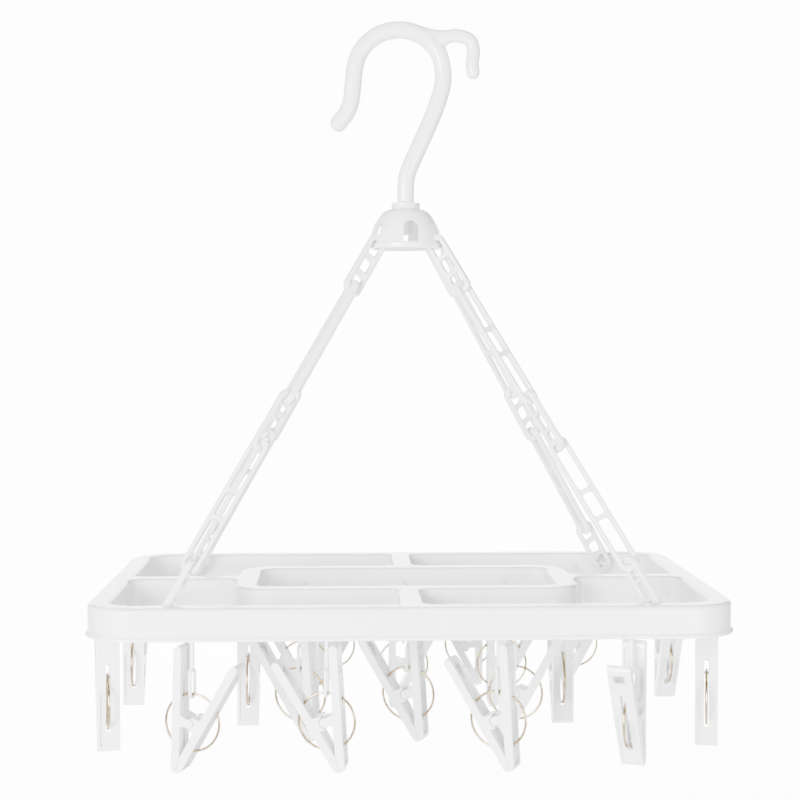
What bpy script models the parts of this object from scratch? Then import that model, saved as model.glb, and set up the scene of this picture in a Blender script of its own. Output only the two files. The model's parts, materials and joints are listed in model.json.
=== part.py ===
"""A clip drying hanger in metres, +Z up, with its origin where the hook rests on a rail.

A rounded rectangular frame of inverted channels hangs on four chains of flat plates from a domed
hub that turns under a hook. Spring clips hang on straps from the frame's walls.
"""

import math

import bmesh
import bpy
from mathutils import Matrix, Vector

GAP = 0.0003

# Frame: an inverted channel round the outside, with a ring and four spokes inside.
FRAME_TOP = -0.3766
FRAME_LENGTH, FRAME_WIDTH, FRAME_CORNER = 0.414, 0.250, 0.032
BAR_WIDTH, BAR_HEIGHT, WALL = 0.0145, 0.0205, 0.002
TOP_ROUNDING = 0.003
LIP_REACH, LIP_HEIGHT, LIP_SLOPE = 0.0015, 0.002, 0.0004
INNER_WALL_HEIGHT = 0.016
RING_HALF_LENGTH, RING_HALF_WIDTH, RING_CORNER = 0.118, 0.053, 0.025
WINDOW_CORNER = 0.008
STRAP_HOLE_DEPTH, STRAP_HOLE_RADIUS = 0.012, 0.0024

# Hub and hook, with heights above the frame's top face.
HUB_RIM_LOW, HUB_RIM_HIGH = 0.2305, 0.234
HUB_RIM_RADIUS, HUB_DOME_RADIUS, HUB_WALL = 0.0265, 0.0254, 0.002
HUB_CROWN, COLLAR_TOP, COLLAR_RADIUS = 0.259, 0.2625, 0.0101
# The dome's curve: (share of its radius, share of its height) from above the rim to the crown.
DOME_CURVE = ((0.945, 0.333), (0.88, 0.5), (0.81, 0.64), (0.73, 0.76), (0.63, 0.88), (0.5, 0.95))
HUB_CROWN_UNDERSIDE = 0.255
SPIGOT_RADIUS, SPIGOT_LOW, SPIGOT_ROOT = 0.0039, 0.243, 0.003
RETAINER_RADIUS, RETAINER_LOW, RETAINER_EDGE, RETAINER_MARGIN = 0.0054, 0.240, 0.001, 0.0006
DOME_WINDOW_WIDTH, DOME_WINDOW_HEIGHT, DOME_WINDOW_TURN = 0.0105, 0.0145, 7
DOME_WINDOW_SILL = 0.0005
NOTCH_WIDTH, NOTCH_TOP, RIM_BAR_INNER = 0.0062, 0.2470, 0.0238
NOTCH_INNER, NOTCH_OUTER = 0.014, 0.030
HOOK_RADIUS, SIDE_HOOK_RADIUS = 0.0062, 0.0049
HOOK_ARC_CENTRE, HOOK_ARC_RADIUS, HOOK_ARC_ANGLES = (-0.0046, 0.3519), 0.0313, (22, 175)
HOOK_RISE = (
    (0, 0.272), (0.0012, 0.283), (0.0078, 0.2985), (0.0165, 0.3175), (0.0232, 0.335),
    (0.0263, 0.3490),
)
HOOK_TAIL = ((-0.0369, 0.3435), (-0.0378, 0.3350), (-0.0410, 0.3255), (-0.0468, 0.3178))
SIDE_HOOK_PATH = (
    (0.0190, 0.3710), (0.0275, 0.3772), (0.0360, 0.3791), (0.0450, 0.3758), (0.0474, 0.3681),
    (0.0465, 0.3600), (0.0472, 0.3535),
)

# Chains: flat plates with three windows, each turned about the chain's line by its own angle.
# A chain leaves the hub towards CHAIN_AIM.
CHAIN_AIM = (0.140, 0.0925)
EYE_PLACE = (0.158, 0.1045)
EYE_DEPTH, EYE_RADIUS, EYE_WIRE = 0.007, 0.006, 0.0015
PLATE_WIDTH, PLATE_THICKNESS, PLATE_END, PLATE_RAIL = 0.014, 0.0043, 0.0046, 0.003
PLATE_CORNER, PLATE_WINDOW_CORNER = 0.0055, 0.001
SHORT_PLATE = 0.047
ANCHOR_HALF = 0.0022
PLATE_NAMES = ("short_top", "long_upper", "short_mid", "long_lower", "end")
CHAINS = {
    "front_left": (-1, -1, (0, 80, 10, 120, 52)),
    "front_right": (1, -1, (0, 70, -35, 40, -30)),
    "rear_left": (-1, 1, (0, 95, 175, 80, 160)),
    "rear_right": (1, 1, (0, 85, 0, 80, -10)),
}

# Clips: distances run up a jaw's centre line from the tips, and out from it to each side.
CLIP_WIDTH, CLIP_LENGTH = 0.015, 0.0775
JAW_SLOPE, JAW_OUTER, JAW_INNER = 0.255, 0.003, -0.0025
TIP_GAP, TIP_FLAT, TIP_ROUNDING = 0.00015, 0.0104, 0.0012
PIVOT_HEIGHT, NOSE_RADIUS = 0.0325, 0.003
NECK_HALF_HEIGHT, NECK_ASIDE = 0.0024, 0.0015
NOSE_FOOT_LOW, NOSE_FOOT_HIGH = (-0.0035, 0.0046), (0.0035, 0.0062)
SEAT_LIP = 0.0015
SLOT_WIDTH, SLOT_LOW, SLOT_HIGH = 0.0032, 0.0122, 0.0565
SPRING_FOOT_HEIGHT = 0.0165
SPRING_HEIGHT, SPRING_RADIUS, SPRING_WIRE = 0.032, 0.018, 0.0009
SPRING_GAP_ANGLE = 10
SPRING_DROP = 0.0605
LOOP_HEIGHT, LOOP_WIDTH, LOOP_BAR = 0.019, 0.009, 0.002
LOOP_CORNER, LOOP_HOLE_CORNER = 0.0034, 0.0016
STRAP_RISE, STRAP_SHAFT = 0.0022, 0.0024
PRONG_RADIUS, PRONG_LENGTH = 0.0016, 0.0105

# A handle's rounded end: how far below the top its rounding starts and turns over, and how far
# in from the handle's two faces its outer shoulder, its crest and its inner shoulder lie.
HANDLE_END_START, HANDLE_END_TURN = 0.0030, 0.0008
HANDLE_OUTER_INSET, HANDLE_CREST_INSET, HANDLE_INNER_INSET = 0.0012, 0.0028, 0.0008

PLASTIC_WHITE = (0.86, 0.87, 0.87)
PLASTIC_ROUGHNESS = {"frame": 0.22, "hub": 0.18, "hook": 0.2, "chain": 0.25, "jaw": 0.25}
WIRE_COLOUR, WIRE_ROUGHNESS = (0.55, 0.50, 0.40), 0.28

# Each clip: place along its bar, lean of its handles along +X or +Y, turn about its strap.
BAR_MIDDLE_Y = FRAME_WIDTH / 2 - BAR_WIDTH / 2
BAR_MIDDLE_X = FRAME_LENGTH / 2 - BAR_WIDTH / 2
RING_MIDDLE_Y = RING_HALF_WIDTH - BAR_WIDTH / 2
RING_MIDDLE_X = RING_HALF_LENGTH - BAR_WIDTH / 2
CLIPS = {
    "clip_01": ((-0.138, -BAR_MIDDLE_Y), 0, 16, -18),
    "clip_02": ((-0.054, -BAR_MIDDLE_Y), 0, -18, -12),
    "clip_03": ((0.054, -BAR_MIDDLE_Y), 0, -18, -24),
    "clip_04": ((0.138, -BAR_MIDDLE_Y), 0, -14, 65),
    "clip_05": ((BAR_MIDDLE_X, -0.062), 90, 14, -13),
    "clip_06": ((BAR_MIDDLE_X, 0.062), 90, -14, 0),
    "clip_07": ((0.138, BAR_MIDDLE_Y), 180, 14, 0),
    "clip_08": ((0.054, BAR_MIDDLE_Y), 180, -14, 0),
    "clip_09": ((-0.054, BAR_MIDDLE_Y), 180, 14, 0),
    "clip_10": ((-BAR_MIDDLE_X, 0.062), 270, 14, 0),
    "clip_11": ((-BAR_MIDDLE_X, -0.062), 270, 14, 12),
    "clip_12": ((-0.073, -RING_MIDDLE_Y), 0, -18, -20),
    "clip_13": ((0, -RING_MIDDLE_Y), 0, -18, -20),
    "clip_14": ((0.073, -RING_MIDDLE_Y), 0, 14, -12),
    "clip_15": ((RING_MIDDLE_X, 0), 90, 14, 0),
    "clip_16": ((0.073, RING_MIDDLE_Y), 180, 14, 0),
    "clip_17": ((0, RING_MIDDLE_Y), 180, 14, 0),
    "clip_18": ((-0.073, RING_MIDDLE_Y), 180, -14, 0),
    "clip_19": ((-RING_MIDDLE_X, 0), 270, 14, 0),
}
EMPTY_STATION = ((-0.138, BAR_MIDDLE_Y), 180)


# ---- shared modelling ----


def clear_scene():
    for obj in list(bpy.data.objects):
        bpy.data.objects.remove(obj)


def material(name, colour, roughness, metallic):
    made = bpy.data.materials.new(name)
    made.use_nodes = True
    shader = made.node_tree.nodes["Principled BSDF"]
    shader.inputs["Base Color"].default_value = (*colour, 1)
    shader.inputs["Roughness"].default_value = roughness
    shader.inputs["Metallic"].default_value = metallic
    made.diffuse_color = (*colour, 1)
    return made


def add_object(name, mesh_or_bmesh, matrix=Matrix()):
    if isinstance(mesh_or_bmesh, bmesh.types.BMesh):
        bmesh.ops.recalc_face_normals(mesh_or_bmesh, faces=mesh_or_bmesh.faces)
        mesh = bpy.data.meshes.new(name)
        mesh_or_bmesh.to_mesh(mesh)
        mesh_or_bmesh.free()
    else:
        mesh = mesh_or_bmesh
    obj = bpy.data.objects.new(name, mesh)
    bpy.context.scene.collection.objects.link(obj)
    obj.matrix_world = matrix
    return obj


def combine(target, operation, others):
    """Applies a Boolean with each other object to the target's mesh, and removes the others."""
    for other in others:
        modifier = target.modifiers.new(other.name, "BOOLEAN")
        modifier.operation = operation
        modifier.solver = "EXACT"
        modifier.object = other
    bpy.context.view_layer.update()
    graph = bpy.context.evaluated_depsgraph_get()
    mesh = bpy.data.meshes.new_from_object(target.evaluated_get(graph))
    target.modifiers.clear()
    target.data = mesh
    for other in others:
        bpy.data.objects.remove(other)
    return target


def finish_part(obj, finish, name=None):
    if name:
        obj.name = name
    obj.data.materials.clear()
    obj.data.materials.append(finish)
    obj.data.shade_smooth()
    obj.data.set_sharp_from_angle(angle=math.radians(35))
    return obj


def arc(centre, radius, start, end, steps):
    """Points on an arc between two angles in degrees, both ends included."""
    angles = (math.radians(start + (end - start) * i / steps) for i in range(steps + 1))
    return [Vector((centre[0] + radius * math.cos(a), centre[1] + radius * math.sin(a))) for a in angles]


def rounded_outline(corners, steps):
    """A closed outline through (x, y, radius) corners, each turned by an arc."""
    points = []
    for i, (x, y, radius) in enumerate(corners):
        corner = Vector((x, y))
        back = (Vector(corners[i - 1][:2]) - corner).normalized()
        ahead = (Vector(corners[(i + 1) % len(corners)][:2]) - corner).normalized()
        half = back.angle(ahead) / 2
        centre = corner + (back + ahead).normalized() * (radius / math.sin(half))
        first = corner + back * (radius / math.tan(half)) - centre
        last = corner + ahead * (radius / math.tan(half)) - centre
        turn = last.angle_signed(first)
        for step in range(steps + 1):
            points.append(centre + Matrix.Rotation(turn * step / steps, 2) @ first)
    return points


def rectangle(half_x, half_y, radius, steps):
    signs = ((-1, -1), (1, -1), (1, 1), (-1, 1))
    return rounded_outline([(sx * half_x, sy * half_y, radius) for sx, sy in signs], steps)


def loft(name, sections):
    """A solid through (outline, height) sections that have as many points each."""
    mesh = bmesh.new()
    rings = [[mesh.verts.new((p[0], p[1], height)) for p in outline] for outline, height in sections]
    for low, high in zip(rings, rings[1:]):
        for i, vertex in enumerate(low):
            j = (i + 1) % len(low)
            mesh.faces.new((vertex, low[j], high[j], high[i]))
    mesh.faces.new(rings[0])
    mesh.faces.new(rings[-1])
    return add_object(name, mesh)


def prism(name, outline, low, high, matrix=Matrix()):
    obj = loft(name, [(outline, low), (outline, high)])
    obj.data.transform(matrix)
    return obj


def box(name, low, high, matrix=Matrix()):
    outline = [(low[0], low[1]), (high[0], low[1]), (high[0], high[1]), (low[0], high[1])]
    return prism(name, outline, low[2], high[2], matrix)


def turned(name, profile, steps, matrix=Matrix()):
    """A solid of revolution about Z from a closed (radius, height) profile."""
    mesh = bmesh.new()
    rings = []
    for step in range(steps):
        turn = Matrix.Rotation(math.tau * step / steps, 4, "Z")
        rings.append([mesh.verts.new(turn @ Vector((r, 0, z))) for r, z in profile])
    for ring, following in zip(rings, rings[1:] + rings[:1]):
        for i in range(len(ring)):
            j = (i + 1) % len(ring)
            mesh.faces.new((ring[i], ring[j], following[j], following[i]))
    bmesh.ops.remove_doubles(mesh, verts=mesh.verts, dist=1e-6)
    obj = add_object(name, mesh)
    obj.data.transform(matrix)
    return obj


def planar_tube(name, path, radii, sides):
    """A tube in the XZ plane along (x, z) points, with a radius at each of them."""
    mesh = bmesh.new()
    rings = []
    for i, point in enumerate(path):
        ahead = (path[min(i + 1, len(path) - 1)] - path[max(i - 1, 0)]).normalized()
        across = Vector((-ahead[1], 0, ahead[0]))
        ring = []
        for side in range(sides):
            angle = math.tau * (side + 0.5) / sides
            offset = across * math.cos(angle) + Vector((0, 1, 0)) * math.sin(angle)
            ring.append(mesh.verts.new(Vector((point[0], 0, point[1])) + offset * radii[i]))
        rings.append(ring)
    for ring, following in zip(rings, rings[1:]):
        for i in range(sides):
            j = (i + 1) % sides
            mesh.faces.new((ring[i], ring[j], following[j], following[i]))
    mesh.faces.new(rings[0])
    mesh.faces.new(rings[-1])
    return add_object(name, mesh)


def smooth_path(points, steps):
    """A curve through the points, with as many steps between each two of them."""
    points = [Vector(p) for p in points]
    ends = [points[0] * 2 - points[1], *points, points[-1] * 2 - points[-2]]
    path = []
    for a, b, c, d in zip(ends, ends[1:], ends[2:], ends[3:]):
        for step in range(steps):
            t = step / steps
            path.append(b + (c - a) * (t / 2) + (a * 2 - b * 5 + c * 4 - d) * (t * t / 2)
                        + (b * 3 - a - c * 3 + d) * (t ** 3 / 2))
    return path + [points[-1]]


# ---- frame ----


def window_outlines(grow):
    """The frame's five windows, each grown into its bars by this much."""
    ring_x, ring_y = RING_HALF_LENGTH - grow, RING_HALF_WIDTH - grow
    spoke = BAR_WIDTH / 2 - grow
    far_x = FRAME_LENGTH / 2 - BAR_WIDTH + grow
    far_y = FRAME_WIDTH / 2 - BAR_WIDTH + grow
    small = WINDOW_CORNER + grow
    corners = [
        (ring_x, spoke, small),
        (far_x, spoke, small),
        (far_x, far_y, FRAME_CORNER - BAR_WIDTH + grow),
        (spoke, far_y, small),
        (spoke, ring_y, small),
        (ring_x, ring_y, RING_CORNER - grow),
    ]
    centre = rectangle(
        RING_HALF_LENGTH - BAR_WIDTH + grow,
        RING_HALF_WIDTH - BAR_WIDTH + grow,
        RING_CORNER - BAR_WIDTH + grow,
        3,
    )
    outlines = [centre]
    for sx, sy in ((1, 1), (-1, 1), (-1, -1), (1, -1)):
        placed = [(sx * x, sy * y, radius) for x, y, radius in corners]
        outlines.append(rounded_outline(placed if sx * sy > 0 else placed[::-1], 3))
    return outlines


def frame_outline(inset):
    return rectangle(FRAME_LENGTH / 2 - inset, FRAME_WIDTH / 2 - inset, FRAME_CORNER - inset, 5)


def channel_cavity():
    """The hollow under the frame: everything within the outer wall, but the windows' walls."""
    within = frame_outline(WALL)
    cavity = prism("cavity", within, -BAR_HEIGHT - WALL, -WALL)
    islands = [
        prism(f"island_{i}", outline, -INNER_WALL_HEIGHT, 0)
        for i, outline in enumerate(window_outlines(WALL))
    ]
    return combine(cavity, "DIFFERENCE", islands)


def station_matrix(place, turn):
    """The frame of a clip's strap: +X along its bar, +Y through the wall, origin in its hole."""
    shift = Matrix.Translation((*place, FRAME_TOP - STRAP_HOLE_DEPTH))
    return shift @ Matrix.Rotation(math.radians(turn), 4, "Z")


def strap_hole(index, place, turn):
    outline = [(p[0], p[1]) for p in arc((0, 0), STRAP_HOLE_RADIUS, 0, 300, 5)]
    along_wall = Matrix.Rotation(math.radians(-90), 4, "X")
    return prism(
        f"hole_{index}", outline, BAR_WIDTH / 2 - 2 * WALL, BAR_WIDTH / 2 + WALL,
        station_matrix(place, turn) @ along_wall,
    )


def chain_eye(name, line):
    """A staple on the bar's inner wall that the chain's end plate hooks on."""
    wall = Vector((line.end.x, math.copysign(FRAME_WIDTH / 2 - BAR_WIDTH, line.end.y), line.end.z))
    inward = Vector((0, -math.copysign(1, wall.y), 0))
    normal = line.plate_normal(4)
    along = (normal - inward * normal.dot(inward)).normalized()
    path = [Vector((p[0], p[1])) for p in arc((0, 0), EYE_RADIUS, 0, 180, 6)]
    path = [path[0] - Vector((0, WALL)), *path, path[-1] - Vector((0, WALL))]
    staple = planar_tube(name, path, [EYE_WIRE] * len(path), 5)
    upright = Matrix((along, along.cross(inward), inward)).transposed().to_4x4()
    staple.data.transform(Matrix.Translation(wall) @ upright)
    return staple


def build_frame(lines, finish):
    shoulder = TOP_ROUNDING * (1 - math.sqrt(0.5))
    body = loft(
        "frame",
        [
            (frame_outline(-LIP_REACH), -BAR_HEIGHT),
            (frame_outline(-LIP_REACH), -BAR_HEIGHT + LIP_HEIGHT),
            (frame_outline(0), -BAR_HEIGHT + LIP_HEIGHT + LIP_SLOPE),
            (frame_outline(0), -TOP_ROUNDING),
            (frame_outline(shoulder), -shoulder),
            (frame_outline(TOP_ROUNDING), 0),
        ],
    )
    cutters = [
        prism(f"window_{i}", outline, -BAR_HEIGHT - WALL, WALL)
        for i, outline in enumerate(window_outlines(0))
    ]
    combine(body, "DIFFERENCE", [channel_cavity(), *cutters])
    body.data.transform(Matrix.Translation((0, 0, FRAME_TOP)))
    stations = [(place, turn) for place, turn, _, _ in CLIPS.values()] + [EMPTY_STATION]
    holes = [strap_hole(i, place, turn) for i, (place, turn) in enumerate(stations)]
    combine(body, "DIFFERENCE", holes)
    pieces = []
    for name, line in lines.items():
        pieces += [line.plate(4), chain_eye(f"{name}_eye", line)]
    combine(body, "UNION", pieces)
    return finish_part(body, finish)


# ---- hub and hook ----


def dome_line(radius, crown):
    """(radius, height) points on the dome's curve, from above the rim up to near the crown."""
    height = crown - HUB_RIM_HIGH
    return [(radius * out, HUB_RIM_HIGH + height * up) for out, up in DOME_CURVE]


def hub_profile():
    bore = SPIGOT_RADIUS + GAP
    return [
        (HUB_DOME_RADIUS - HUB_WALL, HUB_RIM_LOW),
        (HUB_RIM_RADIUS, HUB_RIM_LOW),
        (HUB_RIM_RADIUS, HUB_RIM_HIGH),
        (HUB_DOME_RADIUS, HUB_RIM_HIGH),
        *dome_line(HUB_DOME_RADIUS, HUB_CROWN),
        (COLLAR_RADIUS, HUB_CROWN),
        (COLLAR_RADIUS, COLLAR_TOP),
        (bore, COLLAR_TOP),
        (bore, HUB_CROWN_UNDERSIDE),
        (RETAINER_RADIUS + RETAINER_MARGIN, HUB_CROWN_UNDERSIDE),
        *reversed(dome_line(HUB_DOME_RADIUS - HUB_WALL, HUB_CROWN_UNDERSIDE)),
    ]


def dome_window(turn):
    """An arched opening through the dome, just above the rim."""
    radius = DOME_WINDOW_WIDTH / 2
    low = HUB_RIM_HIGH + DOME_WINDOW_SILL
    spring = low + DOME_WINDOW_HEIGHT - radius
    outline = [(-radius, low), (radius, low), *arc((0, spring), radius, 0, 180, 6)]
    facing = Matrix.Rotation(math.radians(turn), 4, "Z")
    upright = facing @ Matrix.Rotation(math.radians(90), 4, "X")
    return prism(
        f"dome_window_{turn}", outline, HUB_DOME_RADIUS / 2, HUB_DOME_RADIUS * 1.2,
        Matrix.Translation((0, 0, FRAME_TOP)) @ upright,
    )


def chain_notch(name, line):
    """Room in the dome's foot for a chain's top plate, which hooks on the rim left outside it."""
    low, over, high = HUB_RIM_LOW - WALL, HUB_RIM_HIGH + GAP, NOTCH_TOP
    outline = [(NOTCH_INNER, low), (RIM_BAR_INNER, low), (RIM_BAR_INNER, over),
               (NOTCH_OUTER, over), (NOTCH_OUTER, high), (NOTCH_INNER, high)]
    facing = Matrix.Rotation(line.azimuth, 4, "Z")
    upright = facing @ Matrix.Rotation(math.radians(90), 4, "X")
    return prism(
        f"{name}_notch", outline, -NOTCH_WIDTH / 2, NOTCH_WIDTH / 2,
        Matrix.Translation((0, 0, FRAME_TOP)) @ upright,
    )


def build_hub(lines, finish):
    hub = turned("hub_dome", hub_profile(), 20, Matrix.Translation((0, 0, FRAME_TOP)))
    cutters = [dome_window(DOME_WINDOW_TURN + 90 * i) for i in range(4)]
    cutters += [chain_notch(name, line) for name, line in lines.items()]
    combine(hub, "DIFFERENCE", cutters)
    return finish_part(hub, finish)


def round_tipped(path, radius):
    """The path and its radii, with a rounded tip at the path's end."""
    tip, outward = path[-1], (path[-1] - path[-2]).normalized()
    path, radii = list(path), [radius] * len(path)
    for share in (0.6, 0.92):
        path.append(tip + outward * radius * share)
        radii.append(radius * math.sqrt(1 - share * share))
    return path, radii


def build_hook(finish):
    foot = (0, COLLAR_TOP + GAP)
    crest = [tuple(p) for p in arc(HOOK_ARC_CENTRE, HOOK_ARC_RADIUS, *HOOK_ARC_ANGLES, 7)]
    path = smooth_path([foot, *HOOK_RISE, *crest, *HOOK_TAIL], 2)
    hook = planar_tube("swivel_hook", *round_tipped(path, HOOK_RADIUS), 8)
    path = smooth_path(SIDE_HOOK_PATH, 2)
    side_hook = planar_tube("side_hook", *round_tipped(path, SIDE_HOOK_RADIUS), 6)
    for obj in (hook, side_hook):
        obj.data.transform(Matrix.Translation((0, 0, FRAME_TOP)))
    profile = [(0, SPIGOT_LOW), (SPIGOT_RADIUS, SPIGOT_LOW),
               (SPIGOT_RADIUS, COLLAR_TOP + SPIGOT_ROOT), (0, COLLAR_TOP + SPIGOT_ROOT)]
    spigot = turned("spigot", profile, 12, Matrix.Translation((0, 0, FRAME_TOP)))
    combine(hook, "UNION", [side_hook, spigot])
    return finish_part(hook, finish)


def build_retainer(finish):
    """The cap pressed on the end of the hook's spigot, under the hub's crown."""
    bore = SPIGOT_RADIUS + GAP
    high = HUB_CROWN_UNDERSIDE - GAP
    profile = [(0, RETAINER_LOW), (RETAINER_RADIUS - RETAINER_EDGE, RETAINER_LOW),
               (RETAINER_RADIUS, RETAINER_LOW + RETAINER_EDGE), (RETAINER_RADIUS, high),
               (bore, high), (bore, SPIGOT_LOW - GAP), (0, SPIGOT_LOW - GAP)]
    cap = turned("hook_retainer", profile, 12, Matrix.Translation((0, 0, FRAME_TOP)))
    return finish_part(cap, finish)


# ---- chains ----


class ChainLine:
    """The straight line from a chain's bar on the hub's rim to its eye on the frame."""

    def __init__(self, name, sign_x, sign_y, rolls):
        self.name, self.rolls = name, rolls
        middle = (HUB_RIM_LOW + HUB_RIM_HIGH) / 2
        self.azimuth = math.atan2(sign_y * CHAIN_AIM[1], sign_x * CHAIN_AIM[0])
        radius = (RIM_BAR_INNER + HUB_RIM_RADIUS) / 2
        reach = Vector((math.cos(self.azimuth), math.sin(self.azimuth), 0)) * radius
        self.start = reach + Vector((0, 0, FRAME_TOP + middle))
        self.end = Vector((sign_x * EYE_PLACE[0], sign_y * EYE_PLACE[1], FRAME_TOP - EYE_DEPTH))
        self.down = (self.end - self.start).normalized()
        self.across = self.down.cross(Vector((0, 0, 1))).normalized()
        self.outward = self.across.cross(self.down)
        span = (self.end - self.start).length + 2 * (ANCHOR_HALF + GAP + PLATE_END)
        self.overlap = 2 * PLATE_END + GAP
        self.long_plate = (span + 4 * self.overlap - 3 * SHORT_PLATE) / 2

    def plate_length(self, index):
        return self.long_plate if index % 2 else SHORT_PLATE

    def plate_start(self, index):
        """The upper end of a plate, as a distance along the line from the hub's bar."""
        start = -(ANCHOR_HALF + GAP + PLATE_END)
        for before in range(index):
            start += self.plate_length(before) - self.overlap
        return start

    def plate_normal(self, index):
        roll = math.radians(self.rolls[index])
        return self.across * math.cos(roll) + self.outward * math.sin(roll)

    def plate(self, index):
        """A flat plate with three windows, lying along the line at its own roll."""
        length, start = self.plate_length(index), self.plate_start(index)
        name = f"chain_{self.name}_{PLATE_NAMES[index]}"
        half = PLATE_WIDTH / 2
        outline = [(p[0] + length / 2, p[1]) for p in rectangle(length / 2, half, PLATE_CORNER, 2)]
        body = prism(name, outline, -PLATE_THICKNESS / 2, PLATE_THICKNESS / 2)
        shares = (1, 1, 1) if index % 2 == 0 else (2, 1, 2)
        room = length - 2 * PLATE_END - 2 * PLATE_RAIL
        low, cutters = PLATE_END, []
        for i, share in enumerate(shares):
            size = room * share / sum(shares)
            window = rectangle(size / 2, half - PLATE_RAIL, PLATE_WINDOW_CORNER, 1)
            window = [(p[0] + low + size / 2, p[1]) for p in window]
            cutters.append(prism(f"{name}_window_{i}", window, -PLATE_THICKNESS, PLATE_THICKNESS))
            low += size + PLATE_RAIL
        combine(body, "DIFFERENCE", cutters)
        normal = self.plate_normal(index)
        upright = Matrix((self.down, normal.cross(self.down), normal)).transposed().to_4x4()
        place = self.start + self.down * start
        body.data.transform(Matrix.Translation(self.down * (start if index == 0 else 0)) @ upright)
        body.location = self.start if index == 0 else place
        if index == 4:
            body.data.transform(Matrix.Translation(place))
            body.location = (0, 0, 0)
        return body


def build_chain(line, finish):
    return [finish_part(line.plate(index), finish) for index in range(4)]


# ---- clips ----


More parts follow.
